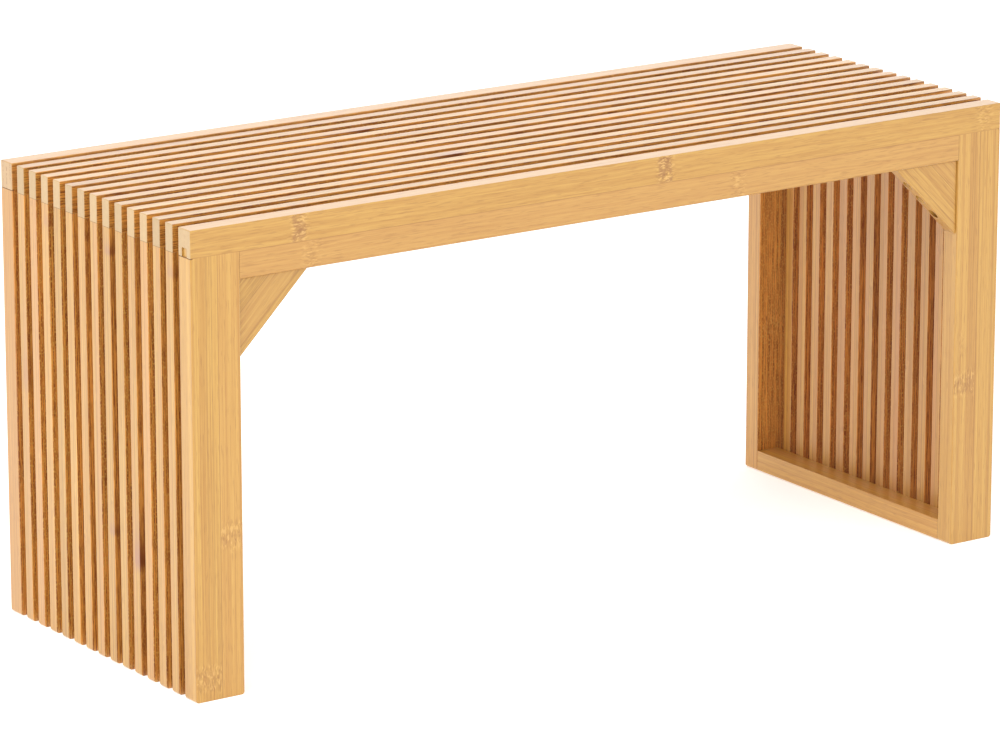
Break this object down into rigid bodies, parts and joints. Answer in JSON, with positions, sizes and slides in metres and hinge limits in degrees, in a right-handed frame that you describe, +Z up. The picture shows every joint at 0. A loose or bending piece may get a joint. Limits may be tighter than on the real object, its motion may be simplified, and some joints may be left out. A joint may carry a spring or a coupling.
{
  "type": "bench",
  "caption": "Low slatted entryway bench: front and rear rail-and-leg frames around slat hoops that form the seat and the two side panels, with triangular corner braces.",
  "frame": {"origin": "centre of the bench's footprint, on the floor", "axes": "+X along the length to the bench's right as seen from the front, +Y towards the back, +Z up"},
  "size_m": [0.9, 0.33, 0.43],
  "materials": {
    "bamboo": "clear satin lacquer on laminated bamboo",
    "beech": "plain unfinished dowel",
    "steel": "bright zinc plated"
  },
  "bodies": {
    "root": {"front_rail": "bamboo", "rear_rail": "bamboo", "front_left_leg": "bamboo", "front_right_leg": "bamboo", "rear_left_leg": "bamboo", "rear_right_leg": "bamboo", "top_slat_01": "bamboo", "top_slat_02": "bamboo", "top_slat_03": "bamboo", "top_slat_04": "bamboo", "top_slat_05": "bamboo", "top_slat_06": "bamboo", "top_slat_07": "bamboo", "top_slat_08": "bamboo", "top_slat_09": "bamboo", "top_slat_10": "bamboo", "top_slat_11": "bamboo", "top_slat_12": "bamboo", "top_slat_13": "bamboo", "left_slat_01": "bamboo", "left_slat_02": "bamboo", "left_slat_03": "bamboo", "left_slat_04": "bamboo", "left_slat_05": "bamboo", "left_slat_06": "bamboo", "left_slat_07": "bamboo", "left_slat_08": "bamboo", "left_slat_09": "bamboo", "left_slat_10": "bamboo", "left_slat_11": "bamboo", "left_slat_12": "bamboo", "left_slat_13": "bamboo", "right_slat_01": "bamboo", "right_slat_02": "bamboo", "right_slat_03": "bamboo", "right_slat_04": "bamboo", "right_slat_05": "bamboo", "right_slat_06": "bamboo", "right_slat_07": "bamboo", "right_slat_08": "bamboo", "right_slat_09": "bamboo", "right_slat_10": "bamboo", "right_slat_11": "bamboo", "right_slat_12": "bamboo", "right_slat_13": "bamboo", "left_foot_batten": "bamboo", "right_foot_batten": "bamboo", "left_head_batten": "bamboo", "right_head_batten": "bamboo", "seat_bearer_1": "bamboo", "seat_bearer_2": "bamboo", "seat_bearer_3": "bamboo", "front_left_brace": "bamboo", "front_right_brace": "bamboo", "rear_left_brace": "bamboo", "rear_right_brace": "bamboo", "brace_screws": "steel", "bearer_screws": "steel", "head_screws": "steel", "dowels": "beech"}
  },
  "joints": []
}
